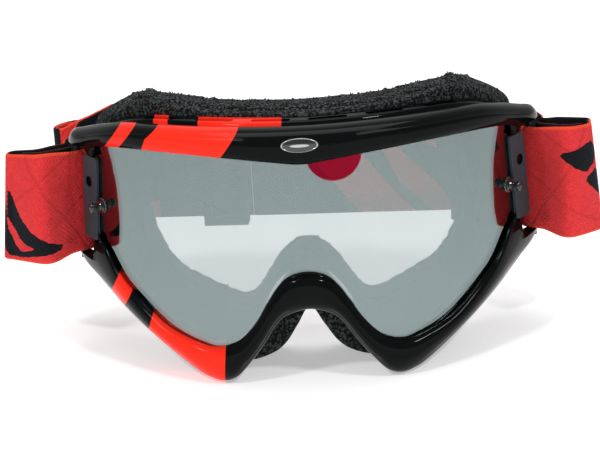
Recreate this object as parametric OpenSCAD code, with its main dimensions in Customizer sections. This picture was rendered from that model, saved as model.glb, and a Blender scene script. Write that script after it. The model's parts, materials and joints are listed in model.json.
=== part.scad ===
// Motorcycle goggles: moulded frame, clip-in lens, layered face foam, strap folded away behind.
// X runs across the face, -Y is where the wearer looks, Z is up. The origin is the middle of the
// face foam, at the height of the tear-off posts. All sizes are in millimetres.

/* [Lens] */
// Radius that the lens and the frame are bent to
lens_r = 92; // [88:1:96]
// Angle from the middle where the bend ends and the sides run straight
bend_end = 54; // [50:1:56]
// Distance from the lens to the face, measured in the middle
depth = 42; // [38:1:46]
// Thickness of the lens
lens_t = 1; // [0.8:0.1:1.2]
// How far the lens reaches into its groove
lens_lap = 3; // [2:0.5:3.5]

/* [Frame] */
// How far the front frame stands proud of the lens
front_lip = 4; // [3:0.5:5]
// Thickness of the front frame behind the face of the lens
front_back = 7; // [6:0.5:8]
// Depth of the rear frame, measured from the lens to the foam
rear_back = 20; // [18:1:22]

/* [Face foam] */
// Radius that the foam makes to suit the face
face_r = 108; // [104:1:116]
// Share of the foam that is the stiff base layer
base_share = 0.25; // [0.15:0.05:0.35]
// Share of the foam that ends where the fleece begins
core_share = 0.8; // [0.6:0.05:0.9]

/* [Strap] */
// Width of the strap
strap_w = 41; // [38:1:42]
// Height of the strap's middle
strap_z = -1.5; // [-2:0.5:-1]
// Thickness of the webbing
web_t = 1.8; // [1.4:0.1:2]
// Radius of the bar that the strap loops round
post_r = 2; // [1.5:0.1:2.2]

/* [Tear-off posts] */
// Distance of each post from the middle
pin_x = 75; // [74:0.5:76]
// Radius of the post's head
pin_head_r = 1.9; // [1.7:0.1:2.1]
// Radius of the post's neck
pin_neck_r = 1.2; // [1:0.1:1.4]

/* [Hidden] */

// Right half of each outline as seen from the front, from the top centre round to the bottom
frame_half = [
    [0, 34.3], [28, 34.3], [52, 33.9], [64, 32.8], [73, 30], [81, 26.4], [87, 23.6], [88.9, 18.6],
    [89.2, 0], [88.9, -21], [86.6, -26.6], [80.2, -30.9], [72.2, -36.5], [57.2, -46.8],
    [42.9, -56.3], [37.2, -59], [32.2, -59.8], [27.4, -58], [22.9, -53.2], [15.9, -43.9],
    [12.3, -38.1], [8, -34], [0, -31.8]
];
rear_half = [
    [0, 34.6], [28, 34.8], [50, 34.4], [60, 33], [68, 30.2], [75, 26], [79.8, 20.6], [81.6, 15],
    [81.8, 0], [81.2, -18], [78, -27.8], [71.4, -36.3], [57.2, -46.8], [42.9, -56], [37.2, -58.6],
    [32.2, -59.3], [27.3, -57.5], [23.1, -53], [16.4, -43.9], [12.6, -38.1], [8, -34], [0, -31.8]
];
lens_half = [
    [0, 22.1], [10, 23.1], [25, 24.6], [45, 25.6], [62, 25.1], [74, 23.2], [77.6, 19.6], [78, 2],
    [78, -11], [74.6, -16.4], [70, -24.4], [64.5, -30.2], [52, -40.3], [39, -45.2], [33.5, -45.7],
    [28.5, -44.3], [24, -41.4], [19, -35.4], [15, -28.7], [11, -22.8], [6.6, -18.7], [0, -17.2]
];
foam_half = [
    [0, 36.3], [30, 37], [50, 39], [59, 38.8], [66, 35.4], [74, 30], [79, 24], [80.5, 12],
    [80.5, -8], [79, -22], [72, -35], [60, -45.4], [46, -54], [34, -58.8], [24, -59.4],
    [15, -56.4], [9.4, -52], [4.8, -45], [0, -38]
];
// Inside of the rear frame's wall
hollow_half = [
    [0, 29.3], [28, 29.6], [52, 29.2], [62, 27.8], [69.6, 24.6], [75.2, 18.6], [77, 0], [76, -18],
    [70, -30.8], [56, -41.6], [42, -50.8], [36.8, -53.4], [32.2, -54.2], [28.4, -52.8],
    [25, -49.4], [19.8, -41.2], [15.4, -34.2], [9.6, -29], [0, -26.8]
];
eye_half = [
    [0, 20.5], [30, 22.5], [48, 22], [56, 17], [59, 6], [58.6, -9], [56, -19], [49, -28.3],
    [36, -34.2], [26, -37.8], [20.6, -36.6], [13.8, -27.2], [8.2, -19.7], [0, -15.8]
];
// Sharp corners of each strap's path from above, with the radius that rounds each corner
left_path = [
    [-105, 7.05, 0], [-97.2, 5.95, 5], [-82.7, 27.19, 3.2], [-82.7, 14.8, 3.2], [-98, 3.8, 6],
    [-113.6, 6, 2.6], [-113.2, 11.4, 2.6], [-99.5, 11.2, 7], [-91.8, 21.5, 7], [-88.5, 38.7, 5],
    [-24, 38.7, 1.6], [-24, 42.2, 1.6], [-98.5, 42.2, 5], [-98.5, 54.4, 6], [-22, 47.95, 0]
];
right_path = [
    [104, 7.88, 0], [97.2, 5.95, 5], [82.7, 27.19, 3.2], [82.7, 14.8, 3.2], [98, 3.8, 6],
    [110, 7.2, 4], [109.2, 15.6, 4], [91.6, 21.6, 6], [88.5, 38.62, 5], [-21.7, 47.92, 0]
];
post_x = 86;
post_y = 16.5;
slot_x = 80.8;
slot_gap = 0.7;
slot_top = strap_z + strap_w / 2 + slot_gap;
slot_bottom = strap_z - strap_w / 2 - slot_gap;
post_grip = 3;
groove_play = 0.2;
groove_floor = 2.4;
groove_back = 10.5;
plate_front = -2.2;
plate_back = -0.2;
plate_x = [78.6, 84.4];
plate_z = [-14.6, 18.2];
plate_hole = [82, 8];
plate_hole_r = 2.2;
badge_size = [13, 5];
badge_z = 29.8;
badge_t = 1.2;
flange_t = 2.5;
eye_rim = 2;
vent_x = [-50, -30, -10, 10, 30, 50];
vent_size = [14, 3.4, 20];
vent_place = [-7, 12.3, 26];
washer_r = 3.4;
washer_t = 0.7;
cap_r = 2.6;
cap_t = 1.6;
cap_back = -2.4;
pin_back = -2.6;
pin_flange = [0.7, 1.3];
pin_head = [4, 5.2, 6.1];
// Place and turn of the stitched block behind each bar, as seen from above
left_tack = [-102, 5.5, -8.03];
right_tack = [102.4, 6.236, 15.8];
tack_size = [3, 0.42, 34];
slider_w = 18;
slider_t = 1.5;
slider_slack = 0.35;
slider_middle = [-33, 66];
run_end = [-22, 47.95];
run_slope = (run_end.y - 54.4) / (98.5 + run_end.x);
run_turn = atan(run_slope);
bow_step = 4;
far = 96;
fine = 48;

function bend_x() = lens_r * sin(bend_end);
function bow(x) = abs(x) < bend_x()
    ? lens_r - sqrt(lens_r * lens_r - x * x)
    : lens_r * (1 - cos(bend_end)) + (abs(x) - bend_x()) * tan(bend_end);
function shell_y(x, off) = bow(x) + off - depth;
function face_y(x) = face_r - sqrt(face_r * face_r - x * x);
function foam_y(x, share) = (1 - share) * shell_y(x, rear_back) + share * face_y(x);

// Smooth closed curve through a half outline and its mirror image
function whole(half) = concat(half, [for (i = [len(half) - 2 : -1 : 1]) [-half[i].x, half[i].y]]);
function ring_at(p, i) = p[(i + len(p)) % len(p)];
function spline(a, b, c, d, t) =
    0.5 * (2 * b + (c - a) * t + (2 * a - 5 * b + 4 * c - d) * t * t + (3 * b - a - 3 * c + d) * t * t * t);
function smooth(p, steps = 4) = [
    for (i = [0 : len(p) - 1], s = [0 : steps - 1])
        spline(ring_at(p, i - 1), p[i], ring_at(p, i + 1), ring_at(p, i + 2), s / steps)
];
// The same curve moved outwards, or inwards where the distance is negative
function unit(v) = v / norm(v);
function side_of(a, b) = let (d = unit(b - a)) [-d.y, d.x];
function grown(p, by) = [
    for (i = [0 : len(p) - 1]) p[i] + by * side_of(ring_at(p, i - 1), ring_at(p, i + 1))
];

// Path with its corners rounded to arcs
function corner(a, b, c, r) =
    let (u = unit([a.x - b.x, a.y - b.y]), v = unit([c.x - b.x, c.y - b.y]),
         half_angle = acos(u * v) / 2, back = r / tan(half_angle), mid = unit(u + v),
         centre = [b.x, b.y] + mid * r / sin(half_angle),
         first = [b.x, b.y] + u * back - centre, turn = 180 - 2 * half_angle,
         way = u.x * v.y - u.y * v.x > 0 ? -1 : 1, n = max(2, ceil(turn / 12)))
    [for (k = [0 : n]) let (t = way * turn * k / n)
        centre + [first.x * cos(t) - first.y * sin(t), first.x * sin(t) + first.y * cos(t)]];
function rounded(p) = concat(
    [[p[0].x, p[0].y]],
    [for (i = [1 : len(p) - 2], q = corner(p[i - 1], p[i], p[i + 1], p[i].z)) q],
    [let (e = p[len(p) - 1]) [e.x, e.y]]
);
function along(q, i) = unit(q[min(i + 1, len(q) - 1)] - q[max(i - 1, 0)]);
function beside(q, d) = [for (i = [0 : len(q) - 1]) let (a = along(q, i)) q[i] + d * [-a.y, a.x]];

// Prism whose outline is seen from the front
module cut_to(points) {
    rotate([90, 0, 0]) linear_extrude(2 * far, center = true) polygon(points);
}
// Upright sheet between two curves seen from above
module between(front, back) {
    xs = [-far : bow_step : far];
    translate([0, 0, -far]) linear_extrude(2 * far) polygon(concat(
        [for (x = xs) [x, front(x)]],
        [for (i = [len([for (x = xs) x]) - 1 : -1 : 0]) let (x = -far + i * bow_step) [x, back(x)]]
    ));
}
module shell(front, back) {
    between(function(x) shell_y(x, front), function(x) shell_y(x, back));
}
module strip(path, lo, hi) {
    q = rounded(path);
    edge = beside(q, web_t / 2);
    other = beside(q, -web_t / 2);
    translate([0, 0, lo]) linear_extrude(hi - lo)
        polygon(concat(edge, [for (i = [len(other) - 1 : -1 : 0]) other[i]]));
}
// Places its children at a tear-off post, with +Z along the post and 0 on the face of the lens
module at_pin(side) {
    translate([side * pin_x, shell_y(pin_x, 0), 0]) rotate([90, 0, side * bend_end]) children();
}
module slot_box(side, x0) {
    x1 = far;
    translate([side > 0 ? x0 : -x1, -far, slot_bottom]) cube([x1 - x0, 2 * far, slot_top - slot_bottom]);
}
module post_hole(side) {
    translate([side * post_x, post_y, slot_bottom - post_grip])
        cylinder(r = post_r, h = slot_top - slot_bottom + 2 * post_grip, $fn = fine);
}

module front_frame() {
    outer = smooth(whole(frame_half));
    lens_hole = smooth(whole(lens_half));
    color([0.06, 0.06, 0.07]) difference() {
        intersection() {
            cut_to(outer);
            shell(-front_lip, front_back);
        }
        cut_to(lens_hole);
        intersection() {
            cut_to(grown(lens_hole, lens_lap));
            shell(0, lens_t + groove_play);
        }
        for (side = [-1, 1]) {
            slot_box(side, slot_x);
            post_hole(side);
        }
        intersection() {
            translate([-far, -far, plate_z[0]]) cube([2 * far, 2 * far, plate_z[1] - plate_z[0]]);
            shell(-front_lip - 1, plate_back);
            difference() {
                translate([-far, -far, -far]) cube(2 * far);
                translate([-plate_x[0], -far, -far]) cube([2 * plate_x[0], 2 * far, 2 * far]);
            }
        }
    }
}

module rear_frame() {
    outer = smooth(whole(rear_half));
    color([0.1, 0.1, 0.11]) difference() {
        intersection() {
            cut_to(outer);
            shell(front_back, rear_back);
        }
        intersection() {
            cut_to(smooth(whole(hollow_half)));
            shell(front_back - 1, rear_back - flange_t);
        }
        cut_to(grown(smooth(whole(eye_half)), eye_rim));
        intersection() {
            difference() {
                translate([-far, -far, -far]) cube(2 * far);
                cut_to(grown(outer, -groove_floor));
            }
            shell(front_back - 1, groove_back);
        }
        for (side = [-1, 1]) slot_box(side, slot_x);
        for (x = vent_x)
            translate([x + vent_place.x, shell_y(x, vent_place.y), vent_place.z]) cube(vent_size);
    }
}

module side_plate(side) {
    color([0.17, 0.2, 0.23]) difference() {
        intersection() {
            shell(plate_front, plate_back);
            translate([side > 0 ? plate_x[0] : -plate_x[1], -far, plate_z[0]])
                cube([plate_x[1] - plate_x[0], 2 * far, plate_z[1] - plate_z[0]]);
        }
        translate([side * plate_hole.x, shell_y(plate_hole.x, 0), plate_hole.y]) rotate([90, 0, side * bend_end])
            cylinder(r = plate_hole_r, h = 3 * plate_hole_r, center = true, $fn = fine);
    }
}

module strap_post(side) {
    color([0.12, 0.12, 0.13]) post_hole(side);
}

module brow_badge() {
    color([0.75, 0.75, 0.75]) translate([0, shell_y(0, -front_lip), badge_z]) rotate([90, 0, 0])
        linear_extrude(badge_t)
            polygon([for (a = [0 : 10 : 350]) [badge_size.x / 2 * cos(a), badge_size.y / 2 * sin(a)]]);
}

module lens() {
    color([0.6, 0.68, 0.7]) difference() {
        intersection() {
            cut_to(grown(smooth(whole(lens_half)), lens_lap - groove_play));
            shell(groove_play / 2, groove_play / 2 + lens_t);
        }
        for (side = [-1, 1])
            at_pin(side) cylinder(r = pin_neck_r, h = 8, center = true, $fn = fine);
    }
}

module tearoff_post(side) {
    color([0.05, 0.05, 0.06]) at_pin(side) rotate_extrude($fn = fine) polygon([
        [0, pin_back], [pin_neck_r, pin_back], [pin_neck_r, pin_flange[0]], [cap_r, pin_flange[0]],
        [cap_r, pin_flange[1]], [pin_neck_r, pin_flange[1] + 0.4], [pin_neck_r, pin_head[0] - 0.6],
        [pin_head_r, pin_head[0]], [pin_head_r, pin_head[1]], [pin_head_r - 0.6, pin_head[2] - 0.2],
        [0, pin_head[2]]
    ]);
}

module post_washer(side) {
    color([0.7, 0.72, 0.73]) at_pin(side) difference() {
        cylinder(r = washer_r, h = washer_t, $fn = fine);
        translate([0, 0, -1]) cylinder(r = pin_neck_r, h = washer_t + 2, $fn = fine);
    }
}

module post_cap(side) {
    color([0.05, 0.05, 0.06]) at_pin(side) translate([0, 0, cap_back]) difference() {
        cylinder(r = cap_r, h = cap_t, $fn = fine);
        translate([0, 0, -1]) cylinder(r = pin_neck_r, h = cap_t + 2, $fn = fine);
    }
}

module foam_layer(from, to) {
    difference() {
        intersection() {
            cut_to(smooth(whole(foam_half)));
            between(function(x) foam_y(x, from), function(x) foam_y(x, to));
        }
        cut_to(smooth(whole(eye_half)));
    }
}
module foam_base() {
    color([0.14, 0.14, 0.15]) foam_layer(0, base_share);
}
module foam_core() {
    color([0.1, 0.1, 0.1]) foam_layer(base_share, core_share);
}
module face_fleece() {
    color([0.05, 0.05, 0.05]) foam_layer(core_share, 1);
}

// Strip of open foam against the inside of the rear frame's wall
module vent_foam(lo, hi) {
    inside = smooth(whole(hollow_half));
    intersection() {
        difference() {
            cut_to(grown(inside, -0.1));
            cut_to(grown(inside, -2.6));
        }
        shell(groove_back, rear_back - 2.7);
        translate([lo.x, -far, lo.y]) cube([hi.x - lo.x, 2 * far, hi.y - lo.y]);
    }
}
module top_vent_foam() {
    color([0.2, 0.2, 0.2]) vent_foam([-60, 20], [60, 40]);
}
module side_vent_foam(side) {
    color([0.2, 0.2, 0.2]) vent_foam([side > 0 ? 42 : -70, -60], [side > 0 ? 70 : -42, -30]);
}

module strap(path) {
    color([0.87, 0.22, 0.22]) strip(path, strap_z - strap_w / 2, strap_z + strap_w / 2);
}

// Block of thread that joins the strap's tail to the strap
module bartack(at) {
    color([0.7, 0.1, 0.1]) translate([at.x, at.y, strap_z]) rotate([0, 0, at.z])
        cube(tack_size, center = true);
}

// Ladder slide: two bars in front of the web and one behind it
module slider(x) {
    rail = 3;
    gap = web_t / 2 + slider_slack;
    y = run_end.y + run_slope * (x - run_end.x);
    color([0.05, 0.05, 0.05]) translate([x, y, strap_z]) rotate([0, 0, run_turn]) {
        for (z = [-1, 1])
            translate([-slider_w / 2, -gap - slider_t, z > 0 ? strap_w / 2 + 0.4 : -strap_w / 2 - 0.4 - rail])
                cube([slider_w, 2 * gap + 2 * slider_t, rail]);
        for (bar = [[-slider_w / 2, -1], [slider_w / 2 - 3.5, -1], [-2, 1]])
            translate([bar.x, bar.y > 0 ? gap : -gap - slider_t, -strap_w / 2 - 0.4])
                cube([bar.y > 0 ? 4 : 3.5, slider_t, strap_w + 0.8]);
    }
}

front_frame();
rear_frame();
side_plate(-1);  // left_side_plate
side_plate(1);  // right_side_plate
strap_post(-1);  // left_strap_post
strap_post(1);  // right_strap_post
brow_badge();
lens();
tearoff_post(-1);  // left_tearoff_post
tearoff_post(1);  // right_tearoff_post
post_washer(-1);  // left_post_washer
post_washer(1);  // right_post_washer
post_cap(-1);  // left_post_cap
post_cap(1);  // right_post_cap
foam_base();
foam_core();
face_fleece();
top_vent_foam();
side_vent_foam(-1);  // left_vent_foam
side_vent_foam(1);  // right_vent_foam
strap(left_path);  // left_strap
strap(right_path);  // right_strap
bartack(left_tack);  // left_bartack
bartack(right_tack);  // right_bartack
slider(slider_middle[0]);  // left_slider
slider(slider_middle[1]);  // right_slider
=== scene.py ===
import json
import math

import bmesh
import bpy
import numpy as np
from bpy.props import FloatProperty, FloatVectorProperty, IntProperty, PointerProperty
from mathutils import Matrix, Vector

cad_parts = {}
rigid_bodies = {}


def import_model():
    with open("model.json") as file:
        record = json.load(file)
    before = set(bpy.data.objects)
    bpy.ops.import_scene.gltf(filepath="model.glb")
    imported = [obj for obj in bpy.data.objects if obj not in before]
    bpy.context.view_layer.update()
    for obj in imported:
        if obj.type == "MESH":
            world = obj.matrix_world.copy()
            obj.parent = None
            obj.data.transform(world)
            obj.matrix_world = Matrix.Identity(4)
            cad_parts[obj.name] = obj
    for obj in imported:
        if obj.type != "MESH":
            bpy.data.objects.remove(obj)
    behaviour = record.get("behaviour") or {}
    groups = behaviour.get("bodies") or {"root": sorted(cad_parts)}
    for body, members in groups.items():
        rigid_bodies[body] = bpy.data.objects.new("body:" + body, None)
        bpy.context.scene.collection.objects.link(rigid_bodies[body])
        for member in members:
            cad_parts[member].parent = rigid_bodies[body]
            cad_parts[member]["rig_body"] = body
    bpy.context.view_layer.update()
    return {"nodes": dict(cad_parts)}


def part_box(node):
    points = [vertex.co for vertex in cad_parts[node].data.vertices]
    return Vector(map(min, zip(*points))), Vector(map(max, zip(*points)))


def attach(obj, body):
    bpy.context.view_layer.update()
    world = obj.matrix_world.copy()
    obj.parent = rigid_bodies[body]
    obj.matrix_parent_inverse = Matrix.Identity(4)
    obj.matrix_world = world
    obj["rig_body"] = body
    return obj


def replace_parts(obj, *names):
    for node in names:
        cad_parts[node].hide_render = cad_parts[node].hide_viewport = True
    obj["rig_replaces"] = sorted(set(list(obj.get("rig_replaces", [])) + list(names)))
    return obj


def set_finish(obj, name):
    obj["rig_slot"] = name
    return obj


bl_info = {
    "name": "Motocross Goggles",
    "version": (1, 0, 0),
    "blender": (4, 5, 0),
    "location": "3D View > Sidebar > Goggles",
    "description": "Builds the frame, lens, face foam and folded strap of moulded goggles",
    "category": "Add Mesh",
}

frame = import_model()
MM = 0.001
# Where the view is taken from: degrees round, up and rolled, metres away, aim and focal length
VIEW_TURN, VIEW_TILT, VIEW_ROLL = 1.43, 17, 3.34
VIEW_FAR, VIEW_AIM, VIEW_LENS = 0.6, (-0.0022, -0.012, -0.0089), 98.2

# Course of the shell, in millimetres: an arc in front, then straight sides
LENS_R = 92.0
BEND = math.radians(54)
BEND_X = LENS_R * math.sin(BEND)
DEPTH = 42.0
FACE_R = 108.0
REAR_BACK = 20.0
# Strap slots, side plates with their holes, badge, tear-off pins and strap
SLOT_X = 80.8
SLOT = (-22.7, 19.7)
PLATE_X = (78.6, 84.4)
PLATE_Z = (-14.6, 18.2)
PLATE_LEAN = 2.6
HOLE_X, HOLE_Z, HOLE_R = 82, 8, 2.2
BADGE_A, BADGE_B, BADGE_Z = 6.5, 2.5, 29.8
PIN_X = 75.0
STRAP_Z = -1.5
STRAP_W = 41.0
HALF_W = STRAP_W / 2

# Right half of each outline from the top centre round to the bottom, as x and z
FRAME_HALF = [
    (0, 34.3), (28, 34.3), (52, 33.9), (64, 32.8), (73, 30.2), (81, 27), (87.4, 23.9), (89.3, 17.8),
    (89.2, 0), (88.9, -21), (86.6, -26.6), (80.2, -30.9), (72.2, -36.5), (57.2, -46.8),
    (42.9, -56.3), (37.2, -59), (32.2, -59.8), (27.4, -58), (22.9, -53.2), (15.9, -43.9),
    (12.3, -38.1), (8, -34), (0, -31.8),
]
REAR_HALF = [
    (0, 34.6), (28, 34.8), (50, 34.4), (60, 33), (68, 30.2), (75, 26), (79.8, 20.6), (81.6, 15),
    (81.8, 0), (81.2, -18), (78, -27.8), (71.4, -36.3), (57.2, -46.8), (42.9, -56), (37.2, -58.6),
    (32.2, -59.3), (27.3, -57.5), (23.1, -53), (16.4, -43.9), (12.6, -38.1), (8, -34), (0, -31.8),
]
LENS_HALF = [
    (0, 22.1), (10, 23.1), (25, 24.6), (45, 25.6), (62, 25.1), (73.2, 23.3), (76.4, 19.6), (77.7, 2),
    (78, -11), (74.6, -16.4), (70, -24.4), (64.5, -30.2), (52, -40.3), (39, -45.2), (33.5, -45.7),
    (28.5, -44.3), (24, -41.4), (19, -35.4), (15, -28.7), (11, -22.8), (6.6, -18.7), (0, -17.2),
]
FOAM_HALF = [
    (0, 36.3), (30, 37), (50, 39), (59, 38.8), (66, 35.4), (74, 30), (79, 24), (80.5, 12),
    (80.5, -8), (79, -22), (72, -35), (60, -45.4), (46, -54), (34, -58.8), (24, -59.4),
    (15, -56.4), (9.4, -52), (4.8, -45), (0, -38),
]
HOLLOW_HALF = [
    (0, 29.3), (28, 29.6), (52, 29.2), (62, 27.8), (69.6, 24.6), (75.2, 18.6), (77, 0), (76, -18),
    (70, -30.8), (56, -41.6), (42, -50.8), (36.8, -53.4), (32.2, -54.2), (28.4, -52.8),
    (25, -49.4), (19.8, -41.2), (15.4, -34.2), (9.6, -29), (0, -26.8),
]
EYE_HALF = [
    (0, 20.5), (30, 22.5), (48, 22), (56, 17), (59, 6), (58.6, -9), (56, -19), (49, -28.3),
    (36, -34.2), (26, -37.8), (20.6, -36.6), (13.8, -27.2), (8.2, -19.7), (0, -15.8),
]
# Which place on the outer outline faces each place on the inner one
LENS_TO_FRAME = [
    (0, 0), (2, 0.9), (3, 1.75), (4, 3), (5, 5), (6, 7), (7, 8), (8, 8.7), (9, 9.8), (10, 11), (11, 12),
    (12, 13), (13, 14), (14, 16.2), (15, 17.8), (16, 18.5), (17, 19.8), (18, 20.5), (19, 21.2),
    (20, 21.6), (21, 22),
]
EYE_TO_FOAM = [
    (0, 0), (1, 1.1), (2, 2.6), (3, 5), (4, 7), (5, 8.3), (6, 9.4), (7, 10.8), (8, 12.2), (9, 13.7),
    (10, 14.8), (11, 16.4), (12, 17.3), (13, 18),
]
EYE_TO_HOLLOW = [
    (0, 0), (1, 1.1), (2, 2.1), (3, 4), (4, 5.3), (5, 6.5), (6, 7.3), (7, 8.4), (8, 9.8), (9, 12),
    (10, 14), (11, 15.9), (12, 17.1), (13, 18),
]
EYE_TO_REAR = [
    (0, 0), (1, 1.1), (2, 2.2), (3, 5), (4, 7.5), (5, 8.6), (6, 9.7), (7, 11.1), (8, 12.8), (9, 15.2),
    (10, 17.2), (11, 19.2), (12, 20.3), (13, 21),
]
# Corners of each strap's course from above, with the radius that rounds each corner
LEFT_COURSE = [
    (-105, 7.05, 0), (-97.2, 5.95, 5), (-82.7, 27.19, 3.2), (-82.7, 14.8, 3.2), (-98, 3.8, 6),
    (-113.6, 6, 2.6), (-113.2, 11.4, 2.6), (-99.5, 11.2, 7), (-91.8, 21.5, 7), (-88.5, 38.7, 5),
    (-24, 38.7, 1.6), (-24, 42.2, 1.6), (-98.5, 42.2, 5), (-98.5, 54.4, 6), (-22, 47.95, 0),
]
RIGHT_COURSE = [
    (104, 7.88, 0), (97.2, 5.95, 5), (82.7, 27.19, 3.2), (82.7, 14.8, 3.2), (98, 3.8, 6),
    (110, 7.2, 4), (109.2, 15.6, 4), (91.6, 21.6, 6), (88.5, 38.62, 5), (-21.7, 47.92, 0),
]
RUN_Y, RUN_X = 47.95, -22
RUN_SLOPE = (RUN_Y - 54.4) / (98.5 + RUN_X)
# Degrees that each row of sewing turns from the x axis
TACK_TURN = {"left": -8.03, "right": 15.8}


class GogglesFrame(bpy.types.PropertyGroup):
    red: FloatVectorProperty(name="Red", description="Colour of the red paint", subtype="COLOR",
                             default=(0.98, 0.03, 0.013), min=0, max=1)
    black: FloatVectorProperty(name="Black", description="Colour of the black paint",
                               subtype="COLOR", default=(0.0022, 0.0026, 0.0028), min=0, max=1)
    plate: FloatVectorProperty(name="Side plate", description="Colour of the satin side plates",
                               subtype="COLOR", default=(0.030, 0.042, 0.050), min=0, max=1)
    plate_round: FloatProperty(name="Plate edge", description="Radius along the side plates' edges",
                               default=0.0003, min=0.0001, max=0.0006, unit="LENGTH")


class GogglesLens(bpy.types.PropertyGroup):
    thickness: FloatProperty(name="Thickness", description="Thickness of the lens", default=0.001,
                             min=0.0008, max=0.0012, unit="LENGTH")
    mirror: FloatVectorProperty(name="Mirror", description="Colour of the light mirror coating",
                                subtype="COLOR", default=(0.39, 0.475, 0.475), min=0, max=1)
    cover: FloatProperty(name="Cover", description="How much each face of the lens covers",
                         default=0.42, min=0, max=1, subtype="FACTOR")


class GogglesFoam(bpy.types.PropertyGroup):
    swell: FloatProperty(name="Swell", description="How far the fleece stands out of the foam",
                         default=0.0009, min=0, max=0.002, unit="LENGTH")
    nap: IntProperty(name="Nap", description="Number of knots of fibre in the fleece", default=7000,
                     min=0, max=9000)


class GogglesStrap(bpy.types.PropertyGroup):
    red: FloatVectorProperty(name="Red yarn", description="Colour of the red yarn",
                             subtype="COLOR", default=(0.95, 0.05, 0.055), min=0, max=1)
    black: FloatVectorProperty(name="Black yarn", description="Colour of the black yarn",
                               subtype="COLOR", default=(0.005, 0.006, 0.008), min=0, max=1)
    thickness: FloatProperty(name="Thickness", description="Thickness of the webbing",
                             default=0.0018, min=0.0014, max=0.002, unit="LENGTH")
    bulge: FloatProperty(name="Bulge", description="How far each loop bellies forward",
                         default=0.0075, min=0, max=0.009, unit="LENGTH")
    stitch: FloatProperty(name="Stitch", description="Length of one stitch", default=0.0022,
                          min=0.001, max=0.004, unit="LENGTH")


class GogglesStage(bpy.types.PropertyGroup):
    key: FloatProperty(name="Key light", description="Power of each soft box", default=5.0, min=0,
                       max=60, unit="POWER")
    sky: FloatProperty(name="Sky", description="Strength of the even light all round", default=0.42,
                       min=0, max=2)
    floor: FloatVectorProperty(name="Floor", description="Colour of the floor", subtype="COLOR",
                               default=(0.93, 0.93, 0.93), min=0, max=1)


# ---- Shell and outlines ----


def bow(x):
    x = np.abs(np.asarray(x, float))
    arc = LENS_R - np.sqrt(np.maximum(LENS_R**2 - np.minimum(x, BEND_X) ** 2, 1))
    return arc + np.maximum(x - BEND_X, 0) * math.tan(BEND)


def plate_lean(z):
    """How far inwards the side plates lean at a height."""
    return PLATE_LEAN * np.clip((np.asarray(z, float) - PLATE_Z[0]) / (PLATE_Z[1] - PLATE_Z[0]), 0, 1)


def shell_y(x, off):
    return bow(x) + off - DEPTH


def foam_y(x, share):
    face = FACE_R - np.sqrt(FACE_R**2 - np.asarray(x, float) ** 2)
    return (1 - share) * shell_y(x, REAR_BACK) + share * face


def on_outline(half, t):
    """Points of the smooth closed curve through a half outline, at places counted in its corners."""
    right = np.array(half, float)
    ring = np.concatenate([right, right[-2:0:-1] * (-1, 1)])
    t = np.asarray(t, float)
    i = np.floor(t).astype(int)
    s = (t - i)[:, None]
    a, b, c, d = (ring[(i + k) % len(ring)] for k in (-1, 0, 1, 2))
    return 0.5 * (2 * b + (c - a) * s + (2 * a - 5 * b + 4 * c - d) * s**2
                  + (3 * b - a - 3 * c + d) * s**3)


def around(inner, facing, spacing):
    """Places on the inner outline, evenly spaced all round, and the facing places on the others."""
    last = len(inner) - 1
    dense = np.linspace(0, last, 40 * last + 1)
    tables = [np.array(pairs, float) for pairs, _ in facing]
    outer = [np.interp(dense, p[:, 0], p[:, 1]) for p in tables]
    middle = on_outline(inner, dense) + on_outline(facing[-1][1], outer[-1])
    run = np.concatenate([[0], np.cumsum(np.linalg.norm(np.diff(middle / 2, axis=0), axis=1))])
    even = np.interp(np.linspace(0, run[-1], max(8, round(run[-1] / spacing)) + 1), run, dense)
    curves = [on_outline(inner, even)]
    curves += [on_outline(half, np.interp(even, p[:, 0], p[:, 1])) for p, (_, half) in zip(tables, facing)]
    return [np.concatenate([c, c[-2:0:-1] * (-1, 1)]) for c in curves]


def ease(value, low, high):
    t = np.clip((np.asarray(value, float) - low) / (high - low), 0, 1)
    return t * t * (3 - 2 * t)


# ---- Meshes ----


def make_piece(name, points, faces, sharp=35):
    """A closed mesh object from points in millimetres, facing outwards, smooth but for its sharp edges."""
    mesh = bpy.data.meshes.new(name)
    mesh.from_pydata((np.asarray(points, float) * MM).tolist(), [], [list(f) for f in faces])
    shape = bmesh.new()
    shape.from_mesh(mesh)
    bmesh.ops.remove_doubles(shape, verts=shape.verts, dist=2e-6)
    bmesh.ops.recalc_face_normals(shape, faces=shape.faces)
    shape.to_mesh(mesh)
    shape.free()
    return finish_mesh(name, mesh, sharp)


def finish_mesh(name, mesh, sharp=35):
    mesh.polygons.foreach_set("use_smooth", [True] * len(mesh.polygons))
    mesh.set_sharp_from_angle(angle=math.radians(sharp))
    piece = bpy.data.objects.new(name, mesh)
    bpy.context.scene.collection.objects.link(piece)
    return piece


def ring_faces(n, k):
    """Quads over a closed ring of n closed sections of k points."""
    i, j = np.meshgrid(np.arange(n), np.arange(k), indexing="ij")
    a, b = i * k + j, ((i + 1) % n) * k + j
    c, d = ((i + 1) % n) * k + (j + 1) % k, i * k + (j + 1) % k
    return np.stack([a, b, c, d], -1).reshape(-1, 4).tolist()


def apply_modifiers(piece):
    """Turns a piece and its modifiers into a plain mesh."""
    shown = piece.evaluated_get(bpy.context.evaluated_depsgraph_get())
    mesh = bpy.data.meshes.new_from_object(shown)
    piece.modifiers.clear()
    piece.data = mesh
    return piece


def recess(value, low, high):
    return (value > low) & (value < high)


def join(name, pieces):
    """One piece from several, with no join operator's context."""
    shape = bmesh.new()
    for piece in pieces:
        shape.from_mesh(piece.data)
    mesh = bpy.data.meshes.new(name)
    shape.to_mesh(mesh)
    shape.free()
    for piece in pieces:
        bpy.data.objects.remove(piece)
    return finish_mesh(name, mesh)


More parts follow.
